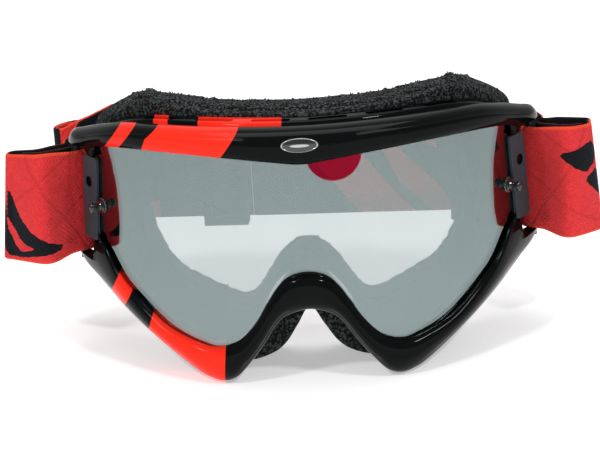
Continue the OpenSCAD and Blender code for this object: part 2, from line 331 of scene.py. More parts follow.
def turned(name, profile, place, axis, steps=48, sharp=30):
    """A turned part from radius and height pairs, stood at a place along an axis."""
    spin = np.linspace(0, 2 * math.pi, steps, endpoint=False)
    to_axis = Vector((0, 0, 1)).rotation_difference(Vector(axis)).to_matrix()
    points = [[r * math.cos(a), r * math.sin(a), h] for a in spin for r, h in profile]
    points = np.array(points) @ np.array(to_axis).T + np.array(place)
    return make_piece(name, points, ring_faces(steps, len(profile)), sharp)


def rounded_box(low, high, radius, place, turn):
    shape = bmesh.new()
    bmesh.ops.create_cube(shape, size=1)
    size, middle = (Vector(high) - Vector(low)) * MM, (Vector(high) + Vector(low)) * MM / 2
    bmesh.ops.scale(shape, vec=size, verts=shape.verts)
    bmesh.ops.translate(shape, vec=middle, verts=shape.verts)
    bmesh.ops.bevel(shape, geom=shape.edges[:] + shape.verts[:], offset=radius * MM, segments=3,
                    affect="EDGES", profile=0.5)
    bmesh.ops.transform(shape, matrix=Matrix.Translation(Vector(place) * MM) @ Matrix.Rotation(turn, 4, "Z"),
                        verts=shape.verts)
    mesh = bpy.data.meshes.new("bar")
    shape.to_mesh(mesh)
    shape.free()
    return finish_mesh("bar", mesh)


# ---- Surfaces ----


class Value:
    """One socket of a surface's tree, for arithmetic in plain expressions."""

    def __init__(self, surface, socket):
        self.surface, self.socket = surface, socket

    def _with(self, operation, *others):
        return self.surface.node("ShaderNodeMath", {"operation": operation}, dict(enumerate([self, *others])))

    def __add__(self, other):
        return self._with("ADD", other)

    def __radd__(self, other):
        return self._with("ADD", other)

    def __sub__(self, other):
        return self._with("SUBTRACT", other)

    def __rsub__(self, other):
        return self.surface.node("ShaderNodeMath", {"operation": "SUBTRACT"}, {0: other, 1: self})

    def __mul__(self, other):
        return self._with("MULTIPLY", other)

    def __rmul__(self, other):
        return self._with("MULTIPLY", other)

    def __truediv__(self, other):
        return self._with("DIVIDE", other)

    def __neg__(self):
        return self._with("MULTIPLY", -1.0)

    def __pow__(self, other):
        return self._with("POWER", other)

    def sine(self):
        return self._with("SINE")

    def size(self):
        return self._with("ABSOLUTE")

    def least(self, other):
        return self._with("MINIMUM", other)

    def most(self, other):
        return self._with("MAXIMUM", other)

    def step(self, softness):
        """0 below zero and 1 above it, with an edge this soft."""
        return self.surface.node("ShaderNodeMath", {"operation": "MULTIPLY_ADD", "use_clamp": True},
                                 {0: self, 1: 1 / softness, 2: 0.5})


class Surface:
    """A material being made: its shader, and the nodes that feed it."""

    def __init__(self, name, **constants):
        self.material = bpy.data.materials.new(name)
        self.material.use_nodes = True
        self.tree = self.material.node_tree
        self.tree.nodes.clear()
        self.shader = self.tree.nodes.new("ShaderNodeBsdfPrincipled")
        out = self.tree.nodes.new("ShaderNodeOutputMaterial")
        self.tree.links.new(self.shader.outputs[0], out.inputs[0])
        for socket, value in constants.items():
            self.feed(socket.replace("_", " ").title().replace("Ior", "IOR"), value)
        self.axes = None

    def feed(self, socket, value):
        self._put(self.shader.inputs[socket], value)
        return self

    def _put(self, socket, value):
        if isinstance(value, Value):
            self.tree.links.new(value.socket, socket)
        elif hasattr(value, "__len__") and len(value) == 3 and socket.type == "RGBA":
            socket.default_value = (*value, 1)
        else:
            socket.default_value = value

    def node(self, kind, settings=None, sockets=None, out=0):
        made = self.tree.nodes.new(kind)
        for key, value in (settings or {}).items():
            setattr(made, key, value)
        for key, value in (sockets or {}).items():
            self._put(made.inputs[key], value)
        return Value(self, made.outputs[out])

    def place(self):
        """x, y and z on the object, in millimetres."""
        if self.axes is None:
            object_place = self.node("ShaderNodeTexCoord", out=3)
            split = self.node("ShaderNodeSeparateXYZ", sockets={0: object_place}).socket.node
            self.axes = [Value(self, split.outputs[i]) * (1 / MM) for i in range(3)]
        return self.axes

    def attribute(self, name):
        return self.node("ShaderNodeAttribute", {"attribute_name": name}, out=2)

    def noise(self, scale, detail=2.0, roughness=0.5, vector=None):
        """Soft noise with about this many grains to the millimetre."""
        vector = vector or self.node("ShaderNodeTexCoord", out=3)
        return self.node("ShaderNodeTexNoise", sockets={
            "Vector": vector, "Scale": scale / MM, "Detail": detail, "Roughness": roughness})

    def vector(self, x, y, z=0.0):
        return self.node("ShaderNodeCombineXYZ", sockets={0: x, 1: y, 2: z})

    def mix(self, factor, first, second):
        """A colour between two colours."""
        return self.node("ShaderNodeMix", {"data_type": "RGBA"}, {0: factor, 6: first, 7: second}, out=2)

    def bump(self, height, distance, strength=1.0):
        """Raises the surface by height times this many millimetres."""
        return self.feed("Normal", self.node("ShaderNodeBump", sockets={
            "Height": height, "Distance": distance * MM, "Strength": strength}))


def paint(piece, surface):
    piece.data.materials.clear()
    piece.data.materials.append(surface.material)
    return piece


def settle(piece, body, slot, *nodes):
    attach(piece, body)
    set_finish(piece, slot)
    if nodes:
        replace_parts(piece, *nodes)
    return piece


def gloss_paint(name, settings, fields):
    """Gloss black with painted red fields and a faint orange peel."""
    surface = Surface(name, roughness=0.1, specular_ior_level=0.07)
    x, _, z = surface.place()
    grain = surface.noise(1.2, 3)
    red = fields(surface, x, z)
    speck = surface.noise(0.35, 4)
    lively = surface.mix(speck * 0.16, settings.red, [c * 0.7 for c in settings.red])
    deep = surface.mix(speck * 0.5, settings.black, [c * 1.9 for c in settings.black])
    surface.feed("Base Color", surface.mix(red, deep, lively))
    surface.feed("Roughness", 0.05 + speck * 0.07)
    surface.bump(grain, 0.004)
    return surface


def beyond(x, z, a, b):
    """How far a point lies to the left of the line from a to b."""
    dx, dz = b[0] - a[0], b[1] - a[1]
    length = math.hypot(dx, dz)
    return (z - a[1]) * (dx / length) - (x - a[0]) * (dz / length)


def band(x, z, left, right):
    """1 between two lines that each run upwards, 0 outside them."""
    return (-beyond(x, z, left[0], left[1])).least(beyond(x, z, right[0], right[1]))


# ---- Pieces ----


class GOGGLES_OT_front_frame(bpy.types.Operator):
    """Make the moulded front frame that carries the lens"""

    bl_idname = "goggles.front_frame"
    bl_label = "Front Frame"

    # Share of the way out, millimetres on from it, offset over the brow, offset on the arms
    section = [
        (0, 0.5, 7, 7), (0, 0.12, 6.85, 6.85), (0, 0, 6.4, 6.4), (0, 0, 1.3, 1.3), (0, 2.8, 1.3, 1.3),
        (0, 2.8, -0.05, -0.05), (0, 0, -0.05, -0.05), (0, 0.03, -0.8, -0.7), (0, 0.15, -1.5, -1.4),
        (0, 0.4, -2.15, -2.1), (0, 0.85, -2.8, -2.75), (0, 1.5, -3.3, -3.3), (0, 2.3, -3.65, -3.7),
        (0.3, 0, -3.9, -3.92), (0.38, 0, -4, -4), (0.44, 0, -4, -3.97), (0.5, 0, -4, -3.8),
        (0.58, 0, -3.95, -3.35), (0.66, 0, -3.8, -2.8), (0.74, 0, -3.5, -2.15), (1, -2.4, -2.9, -1.3),
        (1, -1.7, -2.2, -0.6), (1, -1.1, -1.3, 0.1), (1, -0.6, -0.3, 0.9), (1, -0.25, 0.8, 1.8),
        (1, -0.05, 2.1, 2.9), (1, 0, 3.4, 4), (1, 0, 4.8, 5.2), (1, 0, 6.1, 6.1), (1, -0.15, 6.6, 6.6),
        (1, -0.5, 6.93, 6.93), (1, -1, 7, 7), (0.86, 0, 7, 7), (0.74, 0, 7, 7), (0.62, 0, 7, 7),
        (0.5, 0, 7, 7), (0.38, 0, 7, 7), (0.22, 0, 7, 7),
    ]

    @staticmethod
    def fields(surface, x, z):
        on_left = -x
        stripe = band(x, z, ((-71.7, 24), (-62.9, 35)), ((-66.8, 23.6), (-57, 35.4)))
        bold = band(x, z, ((-57.2, 24), (-54.6, 30.3)), ((-27.9, 25), (-20, 35.8)))
        bold = bold.least(beyond(x, z, (-54.6, 30.3), (-48.3, 35.5)) * -1.0)
        brow = stripe.most(bold).least(z - 10)
        patch = band(x, z, ((-74.1, -31.5), (-70.3, -24.5)), ((-68.4, -35.2), (-65.8, -30.5)))
        lobe = band(x, z, ((-60.5, -45), (-57.3, -35.8)), ((-31.7, -57), (-30.5, -44)))
        low = patch.least(-20 - z).most(lobe.least(-32 - z))
        return brow.most(low).least(on_left).step(0.12)

    def execute(self, context):
        inner, outer = around(LENS_HALF, [(LENS_TO_FRAME, FRAME_HALF)], 1.15)
        in_slot = recess(outer[:, 1], *SLOT) & (np.abs(outer[:, 0]) > SLOT_X)
        # At each end of a slot, the last section inside repeats the first one outside, cut off square
        cuts = [(k, k + way) for way in (-1, 1) for k in np.flatnonzero(in_slot & ~np.roll(in_slot, -way))]
        outer[in_slot, 0] = np.sign(outer[in_slot, 0]) * SLOT_X
        for cut, beside in cuts:
            inner[cut], outer[cut] = inner[beside], outer[beside]
        cut_off = [cut for cut, _ in cuts]
        width = np.linalg.norm(outer - inner, axis=1)
        brow = ease((inner + outer)[:, 1] / 2, 12, 24)
        rings = []
        for share, on, over_brow, over_arm in self.section:
            reach = np.clip(share + on * np.clip(width / 10, 0.22, 1) / width, 0, 1)
            at = inner + (outer - inner) * reach[:, None]
            # The slot's ends stay level, so the strap passes clear of them
            gap = recess(at[:, 1], *SLOT) & (np.abs(at[:, 0]) > SLOT_X + 0.01)
            at[gap, 1] = np.where(at[gap, 1] < 0, SLOT[0] - 0.1, SLOT[1])
            at[cut_off, 0] = np.clip(at[cut_off, 0], -SLOT_X, SLOT_X)
            off = brow * over_brow + (1 - brow) * over_arm
            plated = recess(at[:, 1], PLATE_Z[0] - 0.3, PLATE_Z[1] + 0.3) & (
                np.abs(at[:, 0]) > PLATE_X[0] - 0.25 - plate_lean(at[:, 1]))
            off = np.where(plated, np.maximum(off, -0.15), off)
            rings.append(np.column_stack([at[:, 0], shell_y(at[:, 0], off), at[:, 1]]))
        points = np.stack(rings, 1)
        piece = make_piece("front_frame_shell", points.reshape(-1, 3), ring_faces(*points.shape[:2]), 38)
        paint(piece, gloss_paint("gloss_frame_paint", context.scene.goggles_frame, self.fields))
        settle(piece, "goggles", "frame_gloss", "front_frame")
        return {"FINISHED"}


class GOGGLES_OT_rear_frame(bpy.types.Operator):
    """Make the rear frame with its groove, ridge and vents"""

    bl_idname = "goggles.rear_frame"
    bl_label = "Rear Frame"

    # Curve it hangs from (0 eye, 1 hollow, 2 outside), millimetres outwards, offset
    section = [
        (2, -2.9, 7), (2, -2.4, 7.25), (2, -2.4, 8.6), (2, -2.3, 9.6), (2, -1.9, 10.2), (2, -1.2, 10.5),
        (2, -0.55, 10.75), (2, -0.15, 11.25), (2, 0, 12), (2, 0, 14), (2, 0, 16), (2, 0, 18),
        (2, -0.12, 19), (2, -0.5, 19.7), (2, -1.2, 20), (0, 2.6, 20), (0, 2.1, 19.8), (0, 2, 19.3),
        (0, 2, 18.2), (0, 2.1, 17.7), (0, 2.6, 17.5), (1, -1, 17.5), (1, -0.3, 17.2), (1, 0, 16.5),
        (1, 0, 12), (1, 0, 7.6), (1, 0.3, 7),
    ]

    @staticmethod
    def fields(surface, x, z):
        red = (x + 52.5).least(-(x + 47)).most((x + 35.9).least(-(x + 6.2)))
        return red.least(z - 15).step(0.12)

    def execute(self, context):
        eye, hollow, outer = around(EYE_HALF, [(EYE_TO_HOLLOW, HOLLOW_HALF), (EYE_TO_REAR, REAR_HALF)], 1.3)
        in_slot = recess(outer[:, 1], *SLOT)
        outer[in_slot, 0] = np.clip(outer[in_slot, 0], -SLOT_X, SLOT_X)
        curves = [eye, hollow, outer]
        out = outer - eye
        out /= np.linalg.norm(out, axis=1)[:, None]
        rings = []
        for curve, on, off in self.section:
            at = curves[curve] + out * on
            rings.append(np.column_stack([at[:, 0], shell_y(at[:, 0], off), at[:, 1]]))
        points = np.stack(rings, 1)
        piece = make_piece("rear_frame_shell", points.reshape(-1, 3), ring_faces(*points.shape[:2]), 38)
        for x in (-50, -30, -10, 10, 30, 50):
            slope = math.atan2(float(bow(abs(x) + 5) - bow(abs(x) - 5)), 10) * (1 if x > 0 else -1)
            low, high = (-7, -1.7, -5), (7, 1.7, 15)
            cutter = rounded_box(low, high, 1.2, (x, float(shell_y(x, 14)), 31), slope)
            cut = piece.modifiers.new("vent", "BOOLEAN")
            cut.operation, cut.object, cut.solver = "DIFFERENCE", cutter, "EXACT"
            apply_modifiers(piece)
            bpy.data.objects.remove(cutter)
        piece.data.set_sharp_from_angle(angle=math.radians(38))
        paint(piece, gloss_paint("gloss_rear_paint", context.scene.goggles_frame, self.fields))
        settle(piece, "goggles", "frame_rear", "rear_frame")
        return {"FINISHED"}


class GOGGLES_OT_lens(bpy.types.Operator):
    """Make the bent lens with its light mirror coating"""

    bl_idname = "goggles.lens"
    bl_label = "Lens"

    def execute(self, context):
        settings = context.scene.goggles_lens
        inner, outer = around(LENS_HALF, [(LENS_TO_FRAME, FRAME_HALF)], 1.2)
        out = (outer - inner) / np.linalg.norm(outer - inner, axis=1)[:, None]
        edge = inner + out * 1.6
        shape = bmesh.new()
        shape.faces.new([shape.verts.new((x, 0, z)) for x, z in edge])
        for x in np.arange(-79, 79.1, 1.0):
            bmesh.ops.bisect_plane(shape, geom=shape.verts[:] + shape.edges[:] + shape.faces[:],
                                   plane_co=(x, 0, 0), plane_no=(1, 0, 0))
        for vert in shape.verts:
            x, _, z = vert.co
            vert.co = Vector((x, float(shell_y(x, 0.1)), z)) * MM
        bmesh.ops.recalc_face_normals(shape, faces=shape.faces)
        if sum((f.normal.y * f.calc_area() for f in shape.faces)) > 0:
            bmesh.ops.reverse_faces(shape, faces=shape.faces)
        mesh = bpy.data.meshes.new("lens_pane")
        shape.to_mesh(mesh)
        shape.free()
        piece = finish_mesh("lens_pane", mesh, 60)
        wall = piece.modifiers.new("wall", "SOLIDIFY")
        wall.thickness, wall.offset = settings.thickness * 0.95, -1
        apply_modifiers(piece)
        piece.data.set_sharp_from_angle(angle=math.radians(40))
        surface = Surface("mirror_coating_and_painted_reflections", metallic=1.0, roughness=0.02, specular_ior_level=0.5)
        x, _, z = surface.place()
        haze = surface.noise(0.02, 2)
        # Painted reflection: the coating's colour darkens towards the top of the lens, where it reflects less
        # light; the noise adds a random haze
        height = (z + 45) * (1 / 70)
        coating_with_painted_fade = surface.mix((haze * 0.3 + height * 0.7).least(1.0).most(0.0), settings.mirror,
                           [c * 0.74 for c in settings.mirror])
        # Painted reflection: a small crimson disc near the lens's top edge, right of centre, which also makes
        # the lens more opaque there
        painted_reflection_disc = ((x - 11.4) ** 2.0 + (z - 25) ** 2.0) * -1.0 + 94
        coating_and_painted_reflections = surface.mix(painted_reflection_disc.step(6.0), coating_with_painted_fade, (0.22, 0.004, 0.02))
        surface.feed("Base Color", coating_and_painted_reflections)
        surface.feed("Alpha", settings.cover + painted_reflection_disc.step(6.0) * 0.24 + haze * 0.03)
        surface.feed("Roughness", 0.015 + surface.noise(0.15, 3) * 0.02)
        paint(piece, surface)
        settle(piece, "goggles", "lens_mirror", "lens")
        return {"FINISHED"}


class GOGGLES_OT_side_plates(bpy.types.Operator):
    """Make the satin side plates, each with a round hole"""

    bl_idname = "goggles.side_plates"
    bl_label = "Side Plates"

    def execute(self, context):
        settings = context.scene.goggles_frame
        surface = Surface("satin_slate", roughness=0.45, specular_ior_level=0.15)
        fine = surface.noise(6, 3)
        mottle = surface.noise(0.3, 3)
        x, _, z = surface.place()
        across = (x.size() - HOLE_X + float(plate_lean(HOLE_Z))) * (1 / math.cos(BEND))
        hole = HOLE_R - 0.1 - (across**2.0 + (z - HOLE_Z) ** 2.0) ** 0.5
        slate = surface.mix(mottle * 0.5, settings.plate, [c * 1.5 for c in settings.plate])
        # Painted shade: near the hole's middle the colour is near-black, on the disc that closes the hole
        surface.feed("Base Color", surface.mix(hole.step(0.1), slate, (0.002, 0.002, 0.002)))
        surface.feed("Roughness", 0.34 + fine * 0.12)
        surface.bump(fine, 0.02)
        low_u, high_u = ((x - HOLE_X) / math.cos(BEND) for x in PLATE_X)
        for side, name in ((-1, "left"), (1, "right")):
            shape = bmesh.new()
            outline = []
            for u, z, start in ((high_u, PLATE_Z[1], 0), (low_u, PLATE_Z[1], 90), (low_u, PLATE_Z[0], 180),
                                (high_u, PLATE_Z[0], 270)):
                inward = (-1.4 if u > 0 else 1.4, -1.4 if z > 0 else 1.4)
                for a in np.radians(start + np.linspace(0, 90, 7)):
                    outline.append((u + inward[0] + 1.4 * math.cos(a), z + inward[1] + 1.4 * math.sin(a)))
            hole = [(HOLE_R * math.cos(a), HOLE_Z + HOLE_R * math.sin(a))
                    for a in np.radians(np.arange(0, 360, 9))]
            edges = []
            for loop in (outline, hole):
                verts = [shape.verts.new((u, 0, z)) for u, z in loop]
                edges += [shape.edges.new((verts[i], verts[(i + 1) % len(verts)])) for i in range(len(verts))]
            bmesh.ops.triangle_fill(shape, edges=edges, use_beauty=True, normal=(0, -1, 0))
            made = bmesh.ops.extrude_face_region(shape, geom=shape.faces[:])
            lifted = [v for v in made["geom"] if isinstance(v, bmesh.types.BMVert)]
            bmesh.ops.translate(shape, vec=(0, 1.15, 0), verts=lifted)
            bmesh.ops.recalc_face_normals(shape, faces=shape.faces)
            # A disc closes the hole a little behind the plate's face and takes the near-black painted shade
            floor = Matrix.Translation((0, 0.95, HOLE_Z)) @ Matrix.Rotation(math.pi / 2, 4, "X")
            bmesh.ops.create_cone(shape, cap_ends=True, segments=40, radius1=2.5, radius2=2.5, depth=0.3,
                                  matrix=floor)
            front = float(shell_y(HOLE_X, -2.15))
            for vert in shape.verts:
                u, d, z = vert.co
                u -= float(plate_lean(z)) / math.cos(BEND)
                across = HOLE_X + u * math.cos(BEND) - d * math.sin(BEND)
                vert.co = Vector((side * across, front + u * math.sin(BEND) + d * math.cos(BEND), z)) * MM
            bmesh.ops.recalc_face_normals(shape, faces=shape.faces)
            mesh = bpy.data.meshes.new(name + "_plate_panel")
            shape.to_mesh(mesh)
            shape.free()
            piece = finish_mesh(name + "_plate_panel", mesh, 30)
            edge = piece.modifiers.new("edge", "BEVEL")
            edge.width, edge.segments, edge.limit_method = settings.plate_round, 3, "ANGLE"
            apply_modifiers(piece)
            piece.data.set_sharp_from_angle(angle=math.radians(50))
            paint(piece, surface)
            settle(piece, "goggles", "plate_satin", name + "_side_plate")
        return {"FINISHED"}


class GOGGLES_OT_badge(bpy.types.Operator):
    """Make the plain domed oval badge on the brow"""

    bl_idname = "goggles.badge"
    bl_label = "Brow Badge"

    def execute(self, context):
        steps = 64
        rows = [(1, 0.15), (1, 0.45), (0.985, 0.62), (0.955, 0.72), (0.92, 0.74), (0.9, 0.68), (0.86, 0.74),
                (0.7, 0.92), (0.45, 1.08), (0.2, 1.15)]
        points, faces = [], []
        front = float(shell_y(0, -4))
        for share, rise in rows:
            for a in np.linspace(0, 2 * math.pi, steps, endpoint=False):
                x, z = BADGE_A * share * math.cos(a), BADGE_B * share * math.sin(a)
                points.append((x, float(shell_y(x, -4)) - rise + 0.1, BADGE_Z + z))
        n = len(rows)
        for k in range(n - 1):
            for i in range(steps):
                j = (i + 1) % steps
                faces.append((k * steps + i, k * steps + j, (k + 1) * steps + j, (k + 1) * steps + i))
        points += [(0, front + 0.4, BADGE_Z), (0, front - 1.06, BADGE_Z)]
        for i in range(steps):
            j = (i + 1) % steps
            faces.append((i, j, len(points) - 2))
            faces.append(((n - 1) * steps + i, (n - 1) * steps + j, len(points) - 1))
        piece = make_piece("brow_badge_dome", points, faces, 40)
        surface = Surface("resin_dome", roughness=0.12, specular_ior_level=0.5, coat_weight=0.8,
                          coat_roughness=0.03)
        x, _, z = surface.place()
        out = (x / BADGE_A) ** 2.0 + ((z - BADGE_Z) / BADGE_B) ** 2.0
        rim = (out - 0.82).step(0.03) * 0.6
        long = (x / BADGE_A) ** 2.0 * 0.5
        dash = (0.13 - (((z - BADGE_Z) / BADGE_B) ** 2.0 * 3.0 + long)).step(0.03) * 0.75
        brushed = surface.noise(2.5, 2, vector=surface.vector(x * 0.0001, 0.0, z * 0.002))
        silver = surface.mix(brushed, (0.38, 0.39, 0.4), (0.75, 0.76, 0.78))
        bright = rim.most(dash)
        surface.feed("Base Color", surface.mix(bright, (0.006, 0.006, 0.007), silver))
        surface.feed("Metallic", bright)
        surface.feed("Roughness", 0.12 + bright * 0.16)
        paint(piece, surface)
        settle(piece, "goggles", "badge", "brow_badge")
        return {"FINISHED"}


class GOGGLES_OT_posts(bpy.types.Operator):
    """Make the tear-off posts with their washers and caps"""

    bl_idname = "goggles.posts"
    bl_label = "Tear-off Posts"

    def execute(self, context):
        black = Surface("post_gloss", roughness=0.1, specular_ior_level=0.5, coat_weight=0.4)
        wear = black.noise(0.8, 3)
        black.feed("Base Color", black.mix(wear, (0.004, 0.004, 0.005), (0.016, 0.017, 0.019)))
        black.feed("Roughness", 0.06 + wear * 0.1)
        black.bump(black.noise(3, 2), 0.008)
        clear = Surface("washer_silicone", roughness=0.2, specular_ior_level=0.6)
        cloud = clear.noise(0.9, 3)
        clear.feed("Base Color", clear.mix(cloud, (0.10, 0.10, 0.09), (0.28, 0.28, 0.25)))
        clear.feed("Alpha", 0.3 + cloud * 0.2)
        dome = [(1.9 * math.cos(a), 5.0 + 1.1 * math.sin(a)) for a in np.radians([0, 20, 40, 60, 75])]
        stem = [(0.02, -2.6), (0.9, -2.6), (1.15, -2.45), (1.2, -2.2), (1.2, 0.7), (2.4, 0.7), (2.58, 0.8),
                (2.6, 1.0), (2.58, 1.2), (2.4, 1.3), (1.5, 1.45), (1.15, 1.9), (1.1, 2.6), (1.2, 3.2),
                (1.5, 3.7), (1.8, 4.2), (1.9, 4.6)] + dome + [(0.02, 6.1)]
        washer = [(1.25, 0.02), (2.6, 0.02), (2.8, 0.08), (2.88, 0.3), (2.8, 0.52), (2.6, 0.6), (1.25, 0.6)]
        cap = [(1.25, -2.35), (2.3, -2.35), (2.52, -2.25), (2.6, -2.0), (2.6, -1.1), (2.5, -0.87),
               (2.3, -0.8), (1.25, -0.8)]
        for side, name in ((-1, "left"), (1, "right")):
            place = (side * PIN_X, float(shell_y(PIN_X, 0)), 0)
            axis = (side * math.sin(BEND), -math.cos(BEND), 0)
            for label, profile, surface, slot, node in (
                ("post_bulb", stem, black, "pin_black", "tearoff_post"),
                ("post_ring", washer, clear, "washer_clear", "post_washer"),
                ("post_nut", cap, black, "pin_black", "post_cap"),
            ):
                piece = turned(f"{name}_{label}", profile, place, axis)
                paint(piece, surface)
                settle(piece, "goggles", slot, f"{name}_{node}")
        bar = Surface("moulded_bar", roughness=0.45, specular_ior_level=0.4)
        grain = bar.noise(4, 3)
        bar.feed("Base Color", bar.mix(grain, (0.01, 0.01, 0.011), (0.03, 0.03, 0.032)))
        bar.feed("Roughness", 0.35 + grain * 0.2)
        bar.bump(grain, 0.03)
        for name in ("left_strap_post", "right_strap_post"):
            paint(frame["nodes"][name], bar)
        return {"FINISHED"}


class GOGGLES_OT_foam(bpy.types.Operator):
    """Make the three layers of face foam and the fleece's nap"""

    bl_idname = "goggles.foam"
    bl_label = "Face Foam"

    # Name, node, slot, inner and outer share of depth, how far it stands in or out, edge radius
    layers = [
        ("foam_base_layer", "foam_base", "foam_grey", 0.0, 0.235, -0.9, 0.8, 0.9),
        ("foam_core_layer", "foam_core", "foam_black", 0.25, 0.8, 0.1, 1.6, 0.8),
        ("face_fleece_layer", "face_fleece", "fleece", 0.79, 1.0, 0.35, 2.6, 0.6),
    ]

    def layer(self, name, low, high, stand, edge):
        eye, foam = around(EYE_HALF, [(EYE_TO_FOAM, FOAM_HALF)], 1.5)
        out = (foam - eye) / np.linalg.norm(foam - eye, axis=1)[:, None]
        inner, outer = eye - out * stand * 0.3, foam + out * stand
        arc = np.radians([0, 22, 45, 68, 90])
        front, back = foam_y(eye[:, 0], low), foam_y(eye[:, 0], high)
        depth = np.maximum(back - front, 2)
        soft = np.minimum(edge, depth * 0.45)
        rings = []

        def add(base, way, inset, share, lift):
            at = base + way * out * inset[:, None] if np.ndim(inset) else base + way * out * inset
            y0, y1 = foam_y(at[:, 0], low), foam_y(at[:, 0], high)
            rings.append(np.column_stack([at[:, 0], y0 + (y1 - y0) * share + lift, at[:, 1]]))

        for a in arc:
            add(outer, -1, soft * (1 - math.sin(a)), 0, soft * (1 - math.cos(a)))
        for share in (0.35, 0.5, 0.65):
            add(outer, 1, np.full(len(out), 0.5 * math.sin(share * math.pi)), share, 0)
        for a in arc[::-1]:
            add(outer, -1, soft * (1 - math.sin(a)), 1, -soft * (1 - math.cos(a)))
        for share in (0.25, 0.5, 0.75):
            at = outer + (inner - outer) * share
            crown = foam_y(at[:, 0], high) + 0.5 * math.sin(share * math.pi)
            rings.append(np.column_stack([at[:, 0], crown, at[:, 1]]))
        for a in arc:
            add(inner, 1, soft * (1 - math.sin(a)), 1, -soft * (1 - math.cos(a)))
        for share in (0.65, 0.35):
            add(inner, -1, np.full(len(out), 0.4), share, 0)
        for a in arc[::-1]:
            add(inner, 1, soft * (1 - math.sin(a)), 0, soft * (1 - math.cos(a)))
        for share in (0.75, 0.5, 0.25):
            at = outer + (inner - outer) * share
            rings.append(np.column_stack([at[:, 0], foam_y(at[:, 0], low), at[:, 1]]))
        points = np.stack(rings, 1)
        return make_piece(name, points.reshape(-1, 3), ring_faces(*points.shape[:2]), 70)

    @staticmethod
    def swell(piece, most):
        """Puffs a closed piece with cloth under pressure, each point moving no further than allowed."""
        rest = piece.copy()
        rest.data = piece.data.copy()
        bpy.context.scene.collection.objects.link(rest)
        grid = rest.modifiers.new("grid", "REMESH")
        grid.mode, grid.voxel_size = "VOXEL", 0.0021
        apply_modifiers(rest)
        before = np.array([v.co for v in rest.data.vertices])
        cloth = rest.modifiers.new("cloth", "CLOTH")
        cloth.settings.use_pressure = True
        cloth.settings.uniform_pressure_force = 4
        cloth.settings.effector_weights.gravity = 0
        cloth.settings.quality = 4
        for step in range(1, 13):
            bpy.context.scene.frame_set(step)
        shown = rest.evaluated_get(bpy.context.evaluated_depsgraph_get())
        after = np.array([v.co for v in shown.data.vertices])
        bpy.context.scene.frame_set(1)
        rest.modifiers.clear()
        move = after - before
        length = np.linalg.norm(move, axis=1)[:, None]
        moved = before + move * np.minimum(1, most / np.maximum(length, 1e-9))
        rest.data.vertices.foreach_set("co", moved.ravel())
        finer = rest.modifiers.new("finer", "SUBSURF")
        finer.levels = finer.render_levels = 1
        apply_modifiers(rest)
        rest.data.polygons.foreach_set("use_smooth", [True] * len(rest.data.polygons))
        name = piece.name
        bpy.data.objects.remove(piece)
        rest.name = name
        return rest

    @staticmethod
    def foam_surface(name, dark, light, grain, height):
        surface = Surface(name, roughness=0.95, specular_ior_level=0.12)
        cells = surface.node("ShaderNodeTexVoronoi", {"feature": "F1"}, {
            "Vector": surface.node("ShaderNodeTexCoord", out=3), "Scale": grain / MM})
        cloud = surface.noise(0.12, 3)
        fibre = surface.noise(grain * 0.7, 3, 0.7)
        fleck = (fibre - 0.53).step(0.1) * (0.55 + cloud * 0.8)
        surface.feed("Base Color", surface.mix(fleck, dark, light))
        surface.feed("Roughness", 0.86 + fibre * 0.14)
        surface.bump(cells * 0.6 + fibre * 0.9, height)
        return surface

    def execute(self, context):
        settings = context.scene.goggles_foam
        looks = {
            "foam_base_layer": ((0.006, 0.006, 0.007), (0.07, 0.078, 0.078), 1.4, 0.25),
            "foam_core_layer": ((0.004, 0.004, 0.0045), (0.085, 0.095, 0.095), 1.5, 0.45),
            "face_fleece_layer": ((0.004, 0.004, 0.0045), (0.13, 0.145, 0.145), 1.8, 0.5),
        }
        for name, node, slot, low, high, stand, edge, fill in self.layers:
            piece = self.layer(name, low, high, stand, edge)
            if name == "face_fleece_layer":
                piece = self.swell(piece, settings.swell)
            paint(piece, self.foam_surface(name + "_surface", *looks[name]))
            settle(piece, "goggles", slot, node)
        fleece = bpy.data.objects["face_fleece_layer"]
        self.nap(fleece, settings.nap)
        open_foam = self.foam_surface("vent_foam_surface", (0.004,) * 3, (0.05,) * 3, 0.7, 0.5)
        for name in ("top_vent_foam", "left_vent_foam", "right_vent_foam"):
            paint(frame["nodes"][name], open_foam)
        return {"FINISHED"}

    def nap(self, fleece, count):
        """Short knots of fibre spread over the fleece by a node tree."""
        surface = Surface("fleece_knots", roughness=0.95, specular_ior_level=0.1)
        shade = surface.noise(0.9, 2)
        tips = (shade - 0.45).step(0.2)
        surface.feed("Base Color", surface.mix(tips, (0.004, 0.004, 0.005), (0.10, 0.103, 0.108)))
        tree, nodes = growth_tree("FleeceNap", {
            "Density": ("Float", 1.0), "Knot": ("Float", 0.0003), "Seed": ("Int", 7)}, {
            "spread": "GeometryNodeDistributePointsOnFaces", "knot": "GeometryNodeMeshIcoSphere",
            "scale": "FunctionNodeRandomValue"})
        nodes["knot"].inputs["Subdivisions"].default_value = 1
        scale = nodes["scale"]
        scale.data_type = "FLOAT_VECTOR"
        scale.inputs[0].default_value, scale.inputs[1].default_value = (0.5, 0.5, 0.8), (1.1, 1.1, 2.6)
        wire(tree, nodes, [
            ("start", "Geometry", "spread", "Mesh"), ("start", "Density", "spread", "Density"),
            ("start", "Seed", "spread", "Seed"), ("start", "Knot", "knot", "Radius"),
            ("spread", "Points", "put", "Points"), ("spread", "Rotation", "put", "Rotation"),
            ("knot", "Mesh", "put", "Instance"), ("scale", 0, "put", "Scale")])
        area = sum(p.area for p in fleece.data.polygons)
        made = fleece.copy()
        made.data = fleece.data.copy()
        made.name = "fleece_nap"
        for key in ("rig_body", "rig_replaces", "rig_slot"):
            if key in made:
                del made[key]
        made.parent = None
        bpy.context.scene.collection.objects.link(made)
        grow_from(made, tree, {"Density": count / area, "Surface": surface.material})
        settle(made, "goggles", "fleece")


